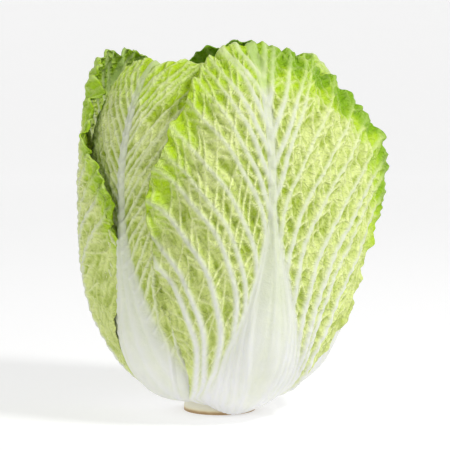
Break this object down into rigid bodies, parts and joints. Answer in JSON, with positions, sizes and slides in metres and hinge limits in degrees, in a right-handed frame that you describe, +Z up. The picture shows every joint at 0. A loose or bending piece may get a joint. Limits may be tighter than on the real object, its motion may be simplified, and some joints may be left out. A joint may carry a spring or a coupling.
{
  "type": "napa cabbage",
  "caption": "Barrel-shaped napa cabbage head standing on its cut stem, with broad white ribs at the foot and crinkled green leaves that fold in over the crown.",
  "frame": {"origin": "centre of the cut face at the foot of the stem", "axes": "+Z up from the cut face to the crown, -Y is the front, where the outermost leaf shows its rib, +X is to the right seen from the front"},
  "size_m": [0.2064, 0.1843, 0.2466],
  "materials": {
    "wrapper_leaf": "fresh leaf: white rib at the foot, yellow-green blade with pale veins, dark green crinkled margin, satin with a faint waxy sheen",
    "inner_leaf": "fresh blanched leaf: white rib, pale yellow-green blade, satin",
    "heart_leaf": "tightly packed pale yellow young leaves, satin",
    "stem": "cut white stem flesh, matte, browned where it has dried"
  },
  "bodies": {
    "root": {"stem": "stem", "wrapper_leaf_01": "wrapper_leaf", "wrapper_leaf_02": "wrapper_leaf", "wrapper_leaf_03": "wrapper_leaf", "wrapper_leaf_04": "wrapper_leaf", "wrapper_leaf_05": "wrapper_leaf", "inner_leaf_06": "inner_leaf", "inner_leaf_07": "inner_leaf", "inner_leaf_08": "inner_leaf", "inner_leaf_09": "inner_leaf", "inner_leaf_10": "inner_leaf", "inner_leaf_11": "inner_leaf", "inner_leaf_12": "inner_leaf", "inner_leaf_13": "inner_leaf", "inner_leaf_14": "inner_leaf", "inner_leaf_15": "inner_leaf", "inner_leaf_16": "inner_leaf", "inner_leaf_17": "inner_leaf", "inner_leaf_18": "inner_leaf", "inner_leaf_19": "inner_leaf", "inner_leaf_20": "inner_leaf", "heart": "heart_leaf"}
  },
  "joints": []
}
